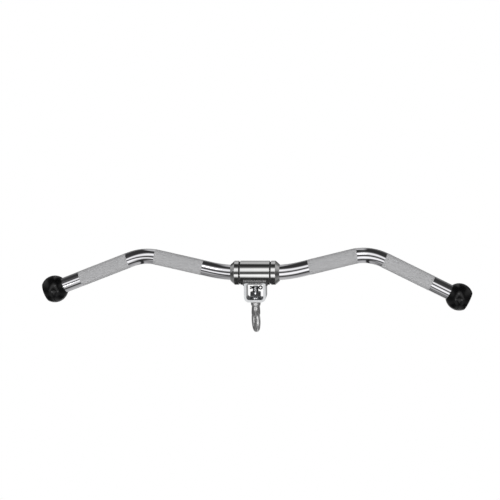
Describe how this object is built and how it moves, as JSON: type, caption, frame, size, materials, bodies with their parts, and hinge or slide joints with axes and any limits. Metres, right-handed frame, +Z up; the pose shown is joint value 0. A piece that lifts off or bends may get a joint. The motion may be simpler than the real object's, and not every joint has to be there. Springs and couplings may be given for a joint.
{
  "type": "cambered cable bar",
  "caption": "Cambered chromed cable bar with knurled grips, rubber ball ends, a revolving centre sleeve and a swivelling pull eye hung below it in a welded stirrup.",
  "frame": {"origin": "middle of the bar, on its axis inside the revolving sleeve, halfway between the two hands that hold it", "axes": "+X along the bar towards its steeper outer arm, +Z up, the way the camber rises, and the pull eye hangs towards -Z"},
  "size_m": [0.7121, 0.045, 0.1408],
  "materials": {
    "chrome": "polished chrome plate",
    "black_rubber": "smooth satin rubber",
    "black_steel": "black oxide",
    "black_nylon": "matt",
    "bronze": "sintered, oiled",
    "zinc": "zinc plated"
  },
  "bodies": {
    "handle": {"bar": "chrome", "end_cap_left": "black_rubber", "end_cap_right": "black_rubber", "collar_left": "chrome", "collar_right": "chrome", "collar_set_screw_left": "black_steel", "collar_set_screw_right": "black_steel", "thrust_washer_left": "black_nylon", "thrust_washer_right": "black_nylon"},
    "revolving_centre": {"sleeve": "chrome", "sleeve_bush_left": "bronze", "sleeve_bush_right": "bronze", "stirrup": "chrome", "weld_bead_front": "chrome", "weld_bead_back": "chrome"},
    "swivel_eye": {"eye_bolt": "chrome", "swivel_nut": "zinc", "nut_washer": "zinc", "shoulder_washer": "bronze", "cotter_pin": "zinc"}
  },
  "joints": [
    {"name": "sleeve_revolve", "type": "hinge", "parent": "handle", "child": "revolving_centre", "pos_m": [0, 0, 0], "axis": [1, 0, 0], "continuous": true},
    {"name": "eye_swivel", "type": "hinge", "parent": "revolving_centre", "child": "swivel_eye", "pos_m": [0, 0, -0.045], "axis": [0, 0, 1], "continuous": true}
  ]
}
